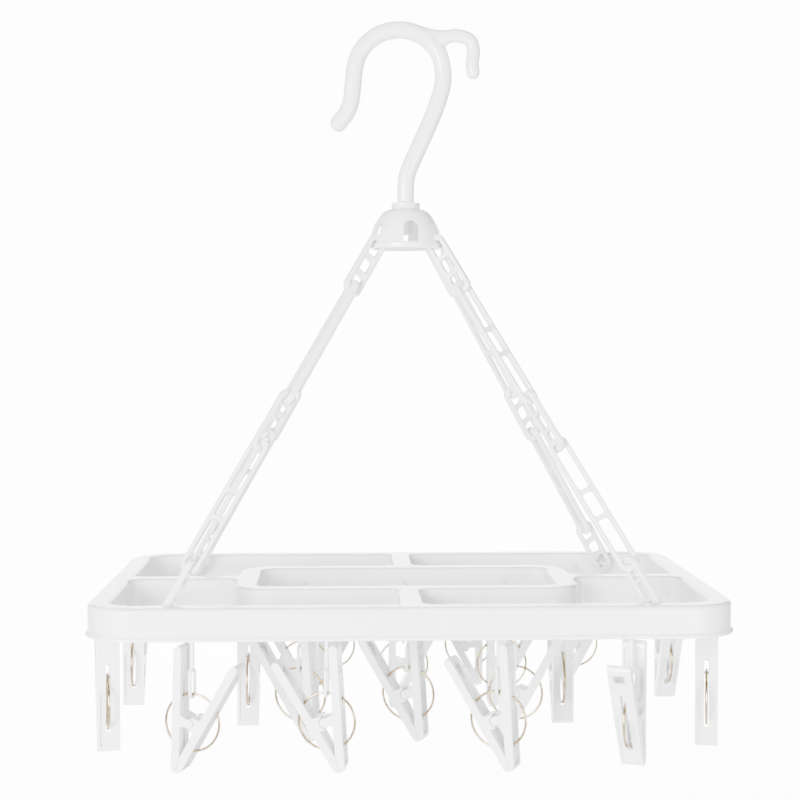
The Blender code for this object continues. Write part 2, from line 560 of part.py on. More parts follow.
class ClipShape:
    """A clip in its strap's frame, with its handles leaning to +X or, mirrored, to -X."""

    def __init__(self, lean, turn):
        self.lean, self.turn = lean, turn
        self.side = 1 if lean > 0 else -1
        angle = math.radians(abs(lean))
        self.up = Vector((math.sin(angle), 0, math.cos(angle)))
        self.out = Vector((math.cos(angle), 0, -math.sin(angle)))
        self.twist = Matrix.Rotation(math.radians(turn), 4, "Z")

    def point(self, height, aside, depth=0):
        """A point from its height up the clip, its distance aside and its depth across it."""
        at = Vector((0, depth, -SPRING_DROP)) + self.up * (height - SPRING_HEIGHT) + self.out * aside
        at.x *= self.side
        return self.twist @ at

    def pivot(self):
        return self.point(PIVOT_HEIGHT, 0)

    def extrusion(self, name, profile, half_width):
        """A solid from an outline of (height, aside) points, as deep as the width given."""
        mesh = bmesh.new()
        near = [mesh.verts.new(self.point(h, a, -half_width)) for h, a in profile]
        far = [mesh.verts.new(self.point(h, a, half_width)) for h, a in profile]
        for i in range(len(near)):
            j = (i + 1) % len(near)
            mesh.faces.new((near[i], near[j], far[j], far[i]))
        mesh.faces.new(near)
        mesh.faces.new(far)
        return add_object(name, mesh)

    def jaw(self, name, hinge_outline, sign, slot_low):
        """A jaw with its handle, the given pivot outline and the slot that the spring runs in."""
        top = CLIP_LENGTH
        web_low, web_high = hinge_outline[0][0], hinge_outline[-1][0]
        profile = [
            (0, TIP_GAP),
            (0, JAW_OUTER - TIP_ROUNDING),
            (TIP_ROUNDING, outer_line(TIP_ROUNDING)),
            (top - HANDLE_END_START, outer_line(top - HANDLE_END_START)),
            (top - HANDLE_END_TURN, outer_line(top) - HANDLE_OUTER_INSET),
            (top, outer_line(top) - HANDLE_CREST_INSET),
            (top - HANDLE_END_TURN, inner_line(top) + HANDLE_INNER_INSET),
            (top - HANDLE_END_START, inner_line(top - HANDLE_END_START)),
            (web_high, inner_line(web_high)),
            *reversed(hinge_outline),
            (web_low, inner_line(web_low)),
            (TIP_FLAT, TIP_GAP),
        ]
        body = self.extrusion(name, [(h, sign * a) for h, a in profile], CLIP_WIDTH / 2)
        slot = [(slot_low, -NOSE_RADIUS * 2), (SLOT_HIGH, -NOSE_RADIUS * 2),
                (SLOT_HIGH, CLIP_WIDTH * 2), (slot_low, CLIP_WIDTH * 2)]
        cutter = self.extrusion(f"{name}_slot", [(h, sign * a) for h, a in slot], SLOT_WIDTH / 2)
        return combine(body, "DIFFERENCE", [cutter])

    def hung_jaw(self, slot_low):
        """The jaw with the round nose, on the side that stands nearly upright."""
        outline = [
            (PIVOT_HEIGHT + NOSE_FOOT_LOW[0], NOSE_FOOT_LOW[1]),
            (PIVOT_HEIGHT - NECK_HALF_HEIGHT, NECK_ASIDE),
            *[tuple(p) for p in arc((PIVOT_HEIGHT, 0), NOSE_RADIUS, 180, 360, 5)],
            (PIVOT_HEIGHT + NECK_HALF_HEIGHT, NECK_ASIDE),
            (PIVOT_HEIGHT + NOSE_FOOT_HIGH[0], NOSE_FOOT_HIGH[1]),
        ]
        return self.jaw("hung_jaw", outline, -1, slot_low)

    def free_jaw(self):
        """The jaw with the hollow seat that turns on the other jaw's nose."""
        seat = arc((PIVOT_HEIGHT, 0), NOSE_RADIUS + 2 * GAP, 165, 15, 5)
        lip, reach = seat[0][1], NOSE_RADIUS + SEAT_LIP
        outline = [(PIVOT_HEIGHT - reach, lip), *[tuple(p) for p in seat], (PIVOT_HEIGHT + reach, lip)]
        return self.jaw("free_jaw", outline, 1, SLOT_LOW)

    def spring(self):
        """A wire ring that grips both jaws, open at the bottom where its ends turn in."""
        start = 270 + SPRING_GAP_ANGLE
        turns = arc((0, 0), SPRING_RADIUS, start, start + 360 - 2 * SPRING_GAP_ANGLE, 13)
        lean = Matrix.Rotation(-math.radians(abs(self.lean)), 2)
        path = [lean @ p for p in turns]
        ring = planar_tube("spring", path, [SPRING_WIRE] * len(path), 4)
        ring.data.transform(Matrix.Translation((0, 0, -SPRING_DROP)))
        ring.data.transform(self.twist @ Matrix.Diagonal((self.side, 1, 1, 1)))
        if self.side < 0:
            ring.data.flip_normals()
        return ring

    def strap(self, slack):
        """The shaft with a loop round the spring's top and a prong through the frame's wall."""
        loop_low = SPRING_RADIUS - SPRING_DROP - SPRING_WIRE - slack - LOOP_BAR
        loop_middle = loop_low + LOOP_HEIGHT / 2
        outer = rectangle(LOOP_WIDTH / 2, LOOP_HEIGHT / 2, LOOP_CORNER, 1)
        inner = rectangle(LOOP_WIDTH / 2 - LOOP_BAR, LOOP_HEIGHT / 2 - LOOP_BAR, LOOP_HOLE_CORNER, 1)
        stood = Matrix(((0, 0, 1, 0), (1, 0, 0, 0), (0, 1, 0, 0), (0, 0, 0, 1)))
        face = Matrix.Translation((0, 0, loop_middle)) @ stood
        strap = prism("strap", outer, -LOOP_BAR / 2, LOOP_BAR / 2, face)
        combine(strap, "DIFFERENCE", [prism("loop_hole", inner, -LOOP_BAR, LOOP_BAR, face)])
        half = STRAP_SHAFT / 2
        shaft_foot = loop_middle + LOOP_HEIGHT / 2 - LOOP_BAR / 2
        shaft = box("shaft", (-half, -half, shaft_foot), (half, half, STRAP_RISE))
        combine(strap, "UNION", [shaft])
        strap.data.transform(self.twist)
        outline = [tuple(p) for p in arc((0, 0), PRONG_RADIUS, 0, 288, 4)]
        prong = prism("prong", outline, 0, PRONG_LENGTH, Matrix.Rotation(math.radians(-90), 4, "X"))
        return combine(strap, "UNION", [prong])


def outer_line(height):
    return JAW_SLOPE * height + JAW_OUTER


def inner_line(height):
    return max(JAW_SLOPE * height + JAW_INNER, TIP_GAP)


def own_lean(lean, turn):
    """A lean towards +X or +Y, told in the frame of a strap turned by this much."""
    return lean if turn in (0, 90) else -lean


def build_clips(finish, wire_finish):
    """Each clip's two jaws. The first clip's spring and strap stand on their own, and on the
    other clips they are joined to the hung jaw, which carries them."""
    for name, (place, turn, lean, twist) in CLIPS.items():
        shape = ClipShape(own_lean(lean, turn), twist)
        station = station_matrix(place, turn)
        if name == "clip_01":
            hung = shape.hung_jaw(SLOT_LOW)
            extras = [(shape.spring(), "spring", wire_finish), (shape.strap(GAP), "strap", finish)]
            for piece, label, piece_finish in extras:
                finish_part(piece, piece_finish, f"{name}_{label}").matrix_world = station
        else:
            hung = shape.hung_jaw(SPRING_FOOT_HEIGHT)
            combine(hung, "UNION", [shape.spring(), shape.strap(-GAP)])
        finish_part(hung, finish, f"{name}_hung_jaw").matrix_world = station
        free = shape.free_jaw()
        free.data.transform(Matrix.Translation(-shape.pivot()))
        finish_part(free, finish, f"{name}_free_jaw")
        free.matrix_world = station @ Matrix.Translation(shape.pivot())


def main():
    clear_scene()
    white = {
        part: material(f"{part}_white", PLASTIC_WHITE, roughness, 0)
        for part, roughness in PLASTIC_ROUGHNESS.items()
    }
    wire = material("spring_wire", WIRE_COLOUR, WIRE_ROUGHNESS, 1)
    lines = {name: ChainLine(name, *values) for name, values in CHAINS.items()}
    build_frame(lines, white["frame"])
    build_hub(lines, white["hub"])
    build_hook(white["hook"])
    build_retainer(white["hook"])
    for line in lines.values():
        build_chain(line, white["chain"])
    build_clips(white["jaw"], wire)
    bpy.context.view_layer.update()


main()
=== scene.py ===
"""The clip drying hanger's looks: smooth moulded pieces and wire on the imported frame, in metres."""

import json
import math

import bmesh
import bpy
import numpy as np
from mathutils import Matrix, Vector


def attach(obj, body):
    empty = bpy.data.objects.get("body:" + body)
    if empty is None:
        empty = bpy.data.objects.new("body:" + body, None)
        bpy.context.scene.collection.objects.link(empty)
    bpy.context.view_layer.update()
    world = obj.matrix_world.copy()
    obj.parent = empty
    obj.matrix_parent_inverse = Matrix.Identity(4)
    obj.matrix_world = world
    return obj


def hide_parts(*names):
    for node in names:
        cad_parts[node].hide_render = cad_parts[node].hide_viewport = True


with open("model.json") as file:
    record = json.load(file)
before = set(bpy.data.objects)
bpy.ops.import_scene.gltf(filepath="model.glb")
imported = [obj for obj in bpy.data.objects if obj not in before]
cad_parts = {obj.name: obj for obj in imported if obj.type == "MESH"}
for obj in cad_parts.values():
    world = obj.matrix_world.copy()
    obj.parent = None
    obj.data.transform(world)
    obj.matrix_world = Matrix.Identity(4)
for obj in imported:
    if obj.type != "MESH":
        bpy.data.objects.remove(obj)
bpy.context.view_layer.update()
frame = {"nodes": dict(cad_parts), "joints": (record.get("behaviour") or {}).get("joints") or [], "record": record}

JOINTS = {joint["name"]: joint for joint in frame["joints"]}
MOUNTS = {mount["name"]: mount for mount in frame["record"]["mounts"]}

# Frame moulding. Heights are measured down from its top face.
FRAME_TOP = MOUNTS["frame_top_rear"]["pos_m"][2]
FRAME_LENGTH, FRAME_WIDTH, FRAME_CORNER = 0.414, 0.250, 0.032
# The inner walls reach 2.8 mm lower than the CAD's 16 mm.
BAR_WIDTH, BAR_HEIGHT, WALL, INNER_WALL_HEIGHT = 0.0145, 0.0205, 0.002, 0.0188
TOP_ROUNDING, WINDOW_ROUNDING, FOOT_ROUNDING, INSIDE_ROUNDING = 0.003, 0.0026, 0.0005, 0.001
LIP_REACH, LIP_HEIGHT = 0.0015, 0.002
# The hollow corner over the lip: (reach out from the band, height over the lip's top).
LIP_FILLET = ((0, 0.0014), (0.0002, 0.0008), (0.0007, 0.0004))
LIP_CROWN = 0.0002
RING_HALF_LENGTH, RING_HALF_WIDTH, RING_CORNER, WINDOW_CORNER = 0.118, 0.053, 0.025, 0.008
STRAP_HOLE_RADIUS = 0.0024
FRAME_CORNER_STEPS, WINDOW_CORNER_STEPS, RING_CORNER_STEPS = 20, 12, 10

# Hub, hook and retainer. Heights are measured up from the frame's top face.
RIM_LOW, RIM_HIGH, RIM_RADIUS, DOME_RADIUS, DOME_WALL = 0.2305, 0.234, 0.0265, 0.0254, 0.002
DOME_CROWN, DOME_CROWN_UNDERSIDE = 0.259, 0.255
# The dome's curve: (share of its radius, share of its height) from the rim to the crown.
DOME_CURVE = (
    (1, 0), (0.945, 0.333), (0.88, 0.5), (0.81, 0.64), (0.73, 0.76), (0.63, 0.88), (0.5, 0.95),
)
COLLAR_TOP, COLLAR_RADIUS = 0.2625, 0.0101
HUB_ROUNDING, RIM_FILLET, COLLAR_FILLET, SMALL_CHAMFER = 0.0006, 0.0002, 0.0012, 0.0004
SPIGOT_RADIUS, SPIGOT_LOW, RUNNING_GAP = 0.0039, 0.243, 0.0003
RETAINER_RADIUS, RETAINER_LOW, RETAINER_ROUNDING = 0.0054, 0.240, 0.0012
SPIGOT_CHAMFER, SPIGOT_OVERLAP = 0.0005, 0.003
DOME_WINDOW_WIDTH, DOME_WINDOW_HEIGHT, DOME_WINDOW_TURN = 0.0105, 0.0145, 7
NOTCH_WIDTH, NOTCH_TOP, RIM_BAR_INNER = 0.0062, 0.2470, 0.0238
NOTCH_INNER, NOTCH_OUTER = 0.014, 0.030
HOOK_RADIUS, SIDE_HOOK_RADIUS = 0.0062, 0.0049
# The rods are drawn this much thinner than the CAD's.
ROD_INSET = 0.0001
ROD_VOXEL, ROD_SOFTENING = 0.0007, 6
ROD_SIDES, SIDE_HOOK_SIDES, PATH_STEPS = 32, 28, 5
HOOK_ARC_CENTRE, HOOK_ARC_RADIUS = (-0.0046, 0.3515), 0.0313
HOOK_ARC_START, HOOK_ARC_END = 22, 175
HOOK_RISE = (
    (0, 0.272), (0.0012, 0.283), (0.0078, 0.2985), (0.0165, 0.3175), (0.0232, 0.335),
    (0.0263, 0.3490),
)
HOOK_TAIL = ((-0.0369, 0.3435), (-0.0378, 0.3350), (-0.0410, 0.3255), (-0.0468, 0.3178))
# The web's line, in the valley between the curl and the side hook. The CAD has no such web.
HOOK_WEB = ((0.0070, 0.3824), (0.0150, 0.3800), (0.0225, 0.3786), (0.0300, 0.3788))
HOOK_WEB_RADIUS = 0.0044
SIDE_HOOK_PATH = (
    (0.0190, 0.3710), (0.0275, 0.3772), (0.0360, 0.3791), (0.0450, 0.3758), (0.0474, 0.3681),
    (0.0465, 0.3600), (0.0472, 0.3535),
)

# Chain plates.
PLATE_WIDTH, PLATE_THICKNESS, PLATE_END, PLATE_RAIL = 0.014, 0.0043, 0.0046, 0.003
PLATE_CORNER, PLATE_WINDOW_CORNER, PLATE_ROUNDING = 0.0055, 0.0022, 0.0009
END_PLATE, END_BAR_HALF, PLATE_GAP = 0.047, 0.0022, 0.0003
EYE_RADIUS, EYE_WIRE, EYE_DEPTH = 0.006, 0.0015, 0.007
CHAIN_SIDES = {
    "front_left": (-1, -1), "front_right": (1, -1), "rear_left": (-1, 1), "rear_right": (1, 1),
}
END_ROLLS = {"front_left": 52, "front_right": -30, "rear_left": 160, "rear_right": -10}
EYE_PLACE = (0.158, 0.1045)
EYE_SIDES = 20

# Clips. Heights run up a clip's middle line from its tips.
CLIP_WIDTH, CLIP_LENGTH = 0.015, 0.0775
JAW_SLOPE, JAW_OUTER, JAW_INNER, TIP_GAP, TIP_FLAT = 0.255, 0.003, -0.0025, 0.00015, 0.0104
PIVOT_HEIGHT, NOSE_RADIUS, SEAT_GAP = 0.0325, 0.003, 0.0006
SLOT_WIDTH, SLOT_LOW, SLOT_HIGH = 0.0032, 0.0122, 0.0565
SPRING_HEIGHT, SPRING_RADIUS, SPRING_WIRE, SPRING_DROP = 0.032, 0.018, 0.0009, 0.0605
SPRING_GAP_ANGLE = 10
LOOP_HEIGHT, LOOP_WIDTH, LOOP_BAR = 0.019, 0.009, 0.002
LOOP_CORNER, LOOP_WINDOW_CORNER, LOOP_ROUNDING = 0.0037, 0.0016, 0.0007
STRAP_RISE, STRAP_SHAFT, STRAP_CORNER = 0.0022, 0.0024, 0.0006
PRONG_RADIUS, PRONG_LENGTH, PRONG_HEAD = 0.0016, 0.0105, 1.35
JAW_EDGE = 0.0005
# A handle's end, as distances down from its top and in from the outer line's end.
CROWN_START, CROWN_OUTER = 0.0060, ((0.0028, 0.0008), (0.0010, 0.0017), (0.0002, 0.0030))
# Its inner corner, as distances down from its top and out from the inner line.
CROWN_CORNER, CROWN_INNER = (0.0005, 0.0012), ((0.0018, 0.0002), (0.0045, 0))
PANEL_LOW, PANEL_HIGH, PANEL_MARGIN, PANEL_CORNER = 0.0030, 0.0370, 0.0019, 0.0010
GROOVE_HEIGHTS, GROOVE_HALF, GROOVE_MARGIN = (0.0600, 0.0622, 0.0644), 0.0005, 0.0022
GRIP_LOW, GRIP_TOP_GAP, GRIP_MARGIN, GRIP_CORNER = 0.0400, 0.0028, 0.0016, 0.0045
PANEL_DEPTH, GROOVE_DEPTH, GRIP_DEPTH, CUT_REACH, HOLE_REACH = 0.0014, 0.0006, 0.0010, 0.004, 0.006
GRIP_HOLE_HEIGHT, GRIP_HOLE_RADIUS = 0.0690, 0.0022

# Studio.
FLOOR_DROP, FLOOR_NEAR, FLOOR_FAR, FLOOR_HALF_WIDTH = 0.9, -6.0, 2.3, 6.0
BACKDROP_BEND, BACKDROP_RADIUS, BACKDROP_HALF_WIDTH, BACKDROP_HEIGHT = 4.0, 1.5, 3.2, 3.2
BACKDROP_GLOW = 11.0
WORLD_NEAR, WORLD_FAR = 0.3, 0.8
CAMERA_PLACE = (-0.040, -1.037, FRAME_TOP + 0.164)
CAMERA_LENS, CAMERA_TILT, CAMERA_TURN = 66.4, 87.83, -1.99
LIGHT_AIM = (0, 0, FRAME_TOP + 0.05)
# Each softbox's place, size and power.
SOFTBOXES = {
    "key_softbox": ((-0.9, -1.5, FRAME_TOP + 0.25), (0.8, 0.8), 155),
    "front_softbox": ((0.9, -1.8, FRAME_TOP - 0.05), (0.9, 0.7), 75),
    "top_softbox": ((0.1, 0.2, 1.5), (1.2, 0.9), 5),
}

# Each plastic's warm and cool white, roughness and flow marks' scale.
PLASTICS = {
    "frame_plastic": ((0.80, 0.81, 0.80), (0.77, 0.79, 0.785), 0.24, 14),
    "hub_plastic": ((0.79, 0.80, 0.80), (0.76, 0.78, 0.785), 0.18, 40),
    "chain_plastic": ((0.80, 0.81, 0.805), (0.77, 0.785, 0.78), 0.26, 30),
    "jaw_plastic": ((0.81, 0.815, 0.81), (0.78, 0.79, 0.79), 0.27, 34),
}


# ---- materials ----


class Nodes:
    """A material's node tree, with short calls to add and link nodes."""

    def __init__(self, name):
        self.material = bpy.data.materials.new(name)
        self.material.use_nodes = True
        self.tree = self.material.node_tree
        self.shader = self.tree.nodes["Principled BSDF"]

    def add(self, kind, **values):
        node = self.tree.nodes.new(kind)
        for key, value in values.items():
            if key in node.inputs:
                node.inputs[key].default_value = value
            else:
                setattr(node, key, value)
        return node

    def link(self, source, target):
        self.tree.links.new(source, target)

    def settings(self, values):
        for socket, value in values.items():
            self.shader.inputs[socket].default_value = value

    def noise(self, vector, scale, detail=3):
        node = self.add("ShaderNodeTexNoise", Scale=scale, Detail=detail)
        self.link(vector, node.inputs["Vector"])
        return node.outputs["Fac"]

    def ramp(self, fac, stops):
        node = self.add("ShaderNodeValToRGB")
        elements = node.color_ramp.elements
        while len(elements) < len(stops):
            elements.new(0.5)
        for element, (place, colour) in zip(elements, stops):
            element.position = place
            element.color = (*colour, 1)
        self.link(fac, node.inputs["Fac"])
        return node.outputs["Color"]

    def remap(self, fac, low, high):
        node = self.add("ShaderNodeMapRange")
        node.inputs["To Min"].default_value = low
        node.inputs["To Max"].default_value = high
        self.link(fac, node.inputs["Value"])
        return node.outputs["Result"]

    def bump(self, height, strength, distance, normal=None):
        node = self.add("ShaderNodeBump", Strength=strength, Distance=distance)
        self.link(height, node.inputs["Height"])
        if normal:
            self.link(normal, node.inputs["Normal"])
        return node.outputs["Normal"]


def moulded_plastic(name, warm, cool, roughness, flow_scale):
    """White glossy plastic: faint colour drift, flow marks, orange peel, and a painted highlight that makes its
    sharp edges paler.
    """
    n = Nodes(name)
    place = n.add("ShaderNodeTexCoord").outputs["Object"]
    drift = n.noise(place, flow_scale, 2)
    colour = n.ramp(drift, [(0.3, cool), (0.7, warm)])
    # Painted highlight: edges that stick out, found by their pointiness, are mixed towards a paler white.
    geometry = n.add("ShaderNodeNewGeometry")
    edge = n.ramp(geometry.outputs["Pointiness"], [(0.5, (0, 0, 0)), (0.62, (1, 1, 1))])
    painted_edge_highlight = n.add("ShaderNodeMix", data_type="RGBA", blend_type="MIX")
    n.link(n.remap(edge, 0, 0.35), painted_edge_highlight.inputs["Factor"])
    n.link(colour, painted_edge_highlight.inputs["A"])
    painted_edge_highlight.inputs["B"].default_value = (0.90, 0.905, 0.90, 1)
    n.link(painted_edge_highlight.outputs["Result"], n.shader.inputs["Base Color"])
    rough = n.noise(place, flow_scale * 9, 5)
    n.link(n.remap(rough, roughness - 0.04, roughness + 0.07), n.shader.inputs["Roughness"])
    peel = n.bump(n.noise(place, 420, 2), 0.06, 0.0004)
    waves = n.bump(n.noise(place, flow_scale * 1.7, 1), 0.08, 0.002, peel)
    n.link(waves, n.shader.inputs["Normal"])
    n.settings({
        "IOR": 1.49, "Subsurface Weight": 0.12, "Subsurface Radius": (0.9, 0.95, 1.0),
        "Subsurface Scale": 0.0012, "Coat Weight": 0.15, "Coat Roughness": 0.12,
    })
    return n.material


def plated_wire(name):
    """Yellowish zinc-plated spring wire with fine drawing lines and small dull patches."""
    n = Nodes(name)
    place = n.add("ShaderNodeTexCoord").outputs["Object"]
    patches = n.noise(place, 260, 4)
    colour = n.ramp(patches, [
        (0.3, (0.24, 0.16, 0.07)), (0.55, (0.44, 0.33, 0.18)), (0.8, (0.62, 0.52, 0.35)),
    ])
    n.link(colour, n.shader.inputs["Base Color"])
    n.link(n.remap(n.noise(place, 900, 2), 0.16, 0.34), n.shader.inputs["Roughness"])
    n.link(n.bump(n.noise(place, 2600, 2), 0.12, 0.0001), n.shader.inputs["Normal"])
    n.settings({"Metallic": 1})
    return n.material


def paper(name, glow):
    """White studio paper, with its own glow where it stands as the backdrop."""
    n = Nodes(name)
    place = n.add("ShaderNodeTexCoord").outputs["Object"]
    n.link(n.ramp(n.noise(place, 3, 4), [(0.3, (0.90, 0.90, 0.90)), (0.7, (0.93, 0.93, 0.93))]),
           n.shader.inputs["Base Color"])
    n.settings({"Roughness": 0.8, "Emission Color": (1, 1, 1, 1), "Emission Strength": glow})
    return n.material


# ---- shared modelling ----


def add_object(name, mesh, matrix=Matrix()):
    if isinstance(mesh, bmesh.types.BMesh):
        bmesh.ops.recalc_face_normals(mesh, faces=mesh.faces)
        made = bpy.data.meshes.new(name)
        mesh.to_mesh(made)
        mesh.free()
        mesh = made
    obj = bpy.data.objects.new(name, mesh)
    bpy.context.scene.collection.objects.link(obj)
    obj.matrix_world = matrix
    return obj


def baked(obj):
    """Puts the object's modifiers into its mesh."""
    bpy.context.view_layer.update()
    graph = bpy.context.evaluated_depsgraph_get()
    mesh = bpy.data.meshes.new_from_object(obj.evaluated_get(graph))
    obj.modifiers.clear()
    obj.data = mesh


def combine(target, operation, others):
    for other in others:
        modifier = target.modifiers.new(other.name, "BOOLEAN")
        modifier.operation = operation
        modifier.solver = "EXACT"
        modifier.object = other
    baked(target)
    for other in others:
        bpy.data.objects.remove(other)


def bevelled(obj, width, segments, angle):
    modifier = obj.modifiers.new("edges", "BEVEL")
    modifier.width = width
    modifier.segments = segments
    modifier.limit_method = "ANGLE"
    modifier.angle_limit = math.radians(angle)
    baked(obj)


def shaded(obj, finish, sharp=38, weighted=True):
    obj.data.materials.clear()
    obj.data.materials.append(finish)
    obj.data.shade_smooth()
    obj.data.set_sharp_from_angle(angle=math.radians(sharp))
    if weighted:
        modifier = obj.modifiers.new("even_shading", "WEIGHTED_NORMAL")
        modifier.keep_sharp = True
    return obj


def placed(obj, body, slot, *nodes):
    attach(obj, body)
    if nodes:
        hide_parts(*nodes)


def arc(centre, radius, start, end, steps):
    """Points on an arc between two angles in degrees, both ends included."""
    angles = [math.radians(start + (end - start) * i / steps) for i in range(steps + 1)]
    x, y = centre
    return [Vector((x + radius * math.cos(a), y + radius * math.sin(a))) for a in angles]


def circle(centre, radius, points=24):
    return arc(centre, radius, 0, 360 * (points - 1) / points, points - 1)


def rounded_outline(corners, steps):
    """A closed outline through (x, y, radius) corners, each turned by an arc."""
    points = []
    for i, (x, y, radius) in enumerate(corners):
        corner = Vector((x, y))
        back = (Vector(corners[i - 1][:2]) - corner).normalized()
        ahead = (Vector(corners[(i + 1) % len(corners)][:2]) - corner).normalized()
        half = back.angle(ahead) / 2
        centre = corner + (back + ahead).normalized() * (radius / math.sin(half))
        first = corner + back * (radius / math.tan(half)) - centre
        last = corner + ahead * (radius / math.tan(half)) - centre
        turn = last.angle_signed(first)
        for step in range(steps + 1):
            points.append(centre + Matrix.Rotation(turn * step / steps, 2) @ first)
    return points


def rectangle(half_x, half_y, radius, steps, centre=(0, 0)):
    signs = ((-1, -1), (1, -1), (1, 1), (-1, 1))
    corners = [(centre[0] + sx * half_x, centre[1] + sy * half_y, radius) for sx, sy in signs]
    return rounded_outline(corners, steps)


def rounded_walls(mesh, sections):
    """Bridges (outline, height) sections, and gives the edges of the first and the last."""
    rings = [[mesh.verts.new((p[0], p[1], height)) for p in outline] for outline, height in sections]
    for low, high in zip(rings, rings[1:]):
        for i, vertex in enumerate(low):
            j = (i + 1) % len(low)
            mesh.faces.new((vertex, low[j], high[j], high[i]))
    ends = []
    for ring in (rings[0], rings[-1]):
        ends.append([mesh.edges.get((v, ring[(i + 1) % len(ring)])) for i, v in enumerate(ring)])
    return ends


def filled(mesh, edges):
    bmesh.ops.triangle_fill(mesh, edges=edges, use_beauty=True)


def quarter(steps):
    """(across, down) shares of a rounded edge, from the flat face round to the wall."""
    angles = [math.pi / 2 * i / steps for i in range(steps + 1)]
    return [(1 - math.sin(a), 1 - math.cos(a)) for a in angles]


def slab(name, outer, windows, thickness, rounding, steps=3):
    """A plate with rounded edges all round and round its windows. outer and each window give
    their outline for an inset from the wall into the plate."""
    mesh = bmesh.new()
    upper, lower = [], []
    for outline in (outer, *windows):
        top = [
            (outline(rounding * across), thickness / 2 - rounding * down)
            for across, down in quarter(steps)
        ]
        bottom = [(points, -height) for points, height in reversed(top)]
        first, last = rounded_walls(mesh, top + bottom)
        upper += first
        lower += last
    filled(mesh, upper)
    filled(mesh, lower)
    return add_object(name, mesh)


def prism(name, outline, low, high, matrix=Matrix()):
    mesh = bmesh.new()
    ends = rounded_walls(mesh, [(outline, low), (outline, high)])
    for edges in ends:
        filled(mesh, edges)
    mesh.transform(matrix)
    return add_object(name, mesh)


def turned(name, profile, steps, matrix=Matrix()):
    """A solid of revolution about Z from a closed (radius, height) profile."""
    mesh = bmesh.new()
    rings = []
    for step in range(steps):
        turn = Matrix.Rotation(math.tau * step / steps, 4, "Z")
        rings.append([mesh.verts.new(turn @ Vector((r, 0, z))) for r, z in profile])
    for ring, following in zip(rings, rings[1:] + rings[:1]):
        for i in range(len(ring)):
            j = (i + 1) % len(ring)
            mesh.faces.new((ring[i], ring[j], following[j], following[i]))
    bmesh.ops.remove_doubles(mesh, verts=mesh.verts, dist=1e-6)
    mesh.transform(matrix)
    return add_object(name, mesh)


def smooth_path(points, steps):
    """A curve through the points, with as many steps between each two of them."""
    points = [Vector(p) for p in points]
    ends = [points[0] * 2 - points[1], *points, points[-1] * 2 - points[-2]]
    path = []
    for a, b, c, d in zip(ends, ends[1:], ends[2:], ends[3:]):
        for step in range(steps):
            t = step / steps
            path.append(b + (c - a) * (t / 2) + (a * 2 - b * 5 + c * 4 - d) * (t * t / 2)
                        + (b * 3 - a - c * 3 + d) * (t ** 3 / 2))
    return path + [points[-1]]


def tube(name, path, radii, sides, flatten=1):
    """A tube along a path in the XZ plane, with a radius at each point."""
    mesh = bmesh.new()
    rings = []
    for i, point in enumerate(path):
        ahead = (path[min(i + 1, len(path) - 1)] - path[max(i - 1, 0)]).normalized()
        across = Vector((-ahead[1], 0, ahead[0]))
        ring = []
        for side in range(sides):
            angle = math.tau * side / sides
            offset = across * math.cos(angle) + Vector((0, flatten, 0)) * math.sin(angle)
            ring.append(mesh.verts.new(Vector((point[0], 0, point[1])) + offset * radii[i]))
        rings.append(ring)
    for ring, following in zip(rings, rings[1:]):
        for i in range(sides):
            j = (i + 1) % sides
            mesh.faces.new((ring[i], ring[j], following[j], following[i]))
    mesh.faces.new(rings[0])
    mesh.faces.new(rings[-1])
    return add_object(name, mesh)


def round_tips(path, radius, start=True, end=True, steps=5):
    """The path and its radii, with a hemisphere on each end that is asked for."""
    path, radii = list(path), [radius] * len(path)
    for wanted, index in ((start, 0), (end, -1)):
        if not wanted:
            continue
        inner = path[1] if index == 0 else path[-2]
        outward = (path[index] - inner).normalized()
        tip = path[index].copy()
        for step in range(1, steps + 1):
            angle = math.pi / 2 * min(step / steps, 0.985)
            where = 0 if index == 0 else len(path)
            path.insert(where, tip + outward * radius * math.sin(angle))
            radii.insert(where, radius * math.cos(angle))
    return path, radii


# ---- frame moulding ----


def window_outlines():
    """Functions that give the frame's five windows, grown into the bars by an inset."""

    def centre(grow):
        return rectangle(
            RING_HALF_LENGTH - BAR_WIDTH + grow,
            RING_HALF_WIDTH - BAR_WIDTH + grow,
            RING_CORNER - BAR_WIDTH + grow,
            RING_CORNER_STEPS,
        )

    def quadrant(sx, sy):
        def outline(grow):
            ring_x, ring_y = RING_HALF_LENGTH - grow, RING_HALF_WIDTH - grow
            spoke, small = BAR_WIDTH / 2 - grow, WINDOW_CORNER + grow
            far_x = FRAME_LENGTH / 2 - BAR_WIDTH + grow
            far_y = FRAME_WIDTH / 2 - BAR_WIDTH + grow
            corners = [
                (ring_x, spoke, small),
                (far_x, spoke, small),
                (far_x, far_y, FRAME_CORNER - BAR_WIDTH + grow),
                (spoke, far_y, small),
                (spoke, ring_y, small),
                (ring_x, ring_y, RING_CORNER - grow),
            ]
            corners = [(sx * x, sy * y, radius) for x, y, radius in corners]
            return rounded_outline(corners if sx * sy > 0 else corners[::-1], WINDOW_CORNER_STEPS)

        return outline

    return [centre] + [quadrant(sx, sy) for sx, sy in ((1, 1), (-1, 1), (-1, -1), (1, -1))]


def frame_outline(inset):
    return rectangle(FRAME_LENGTH / 2 - inset, FRAME_WIDTH / 2 - inset, FRAME_CORNER - inset,
                     FRAME_CORNER_STEPS)


def rounded_edge(outline, inset, height, radius, down):
    """Sections of a quarter round between a wall at this inset and a level at this height."""
    way = -1 if down else 1
    return [(outline(inset + radius * a), height + way * radius * d) for a, d in quarter(4)]


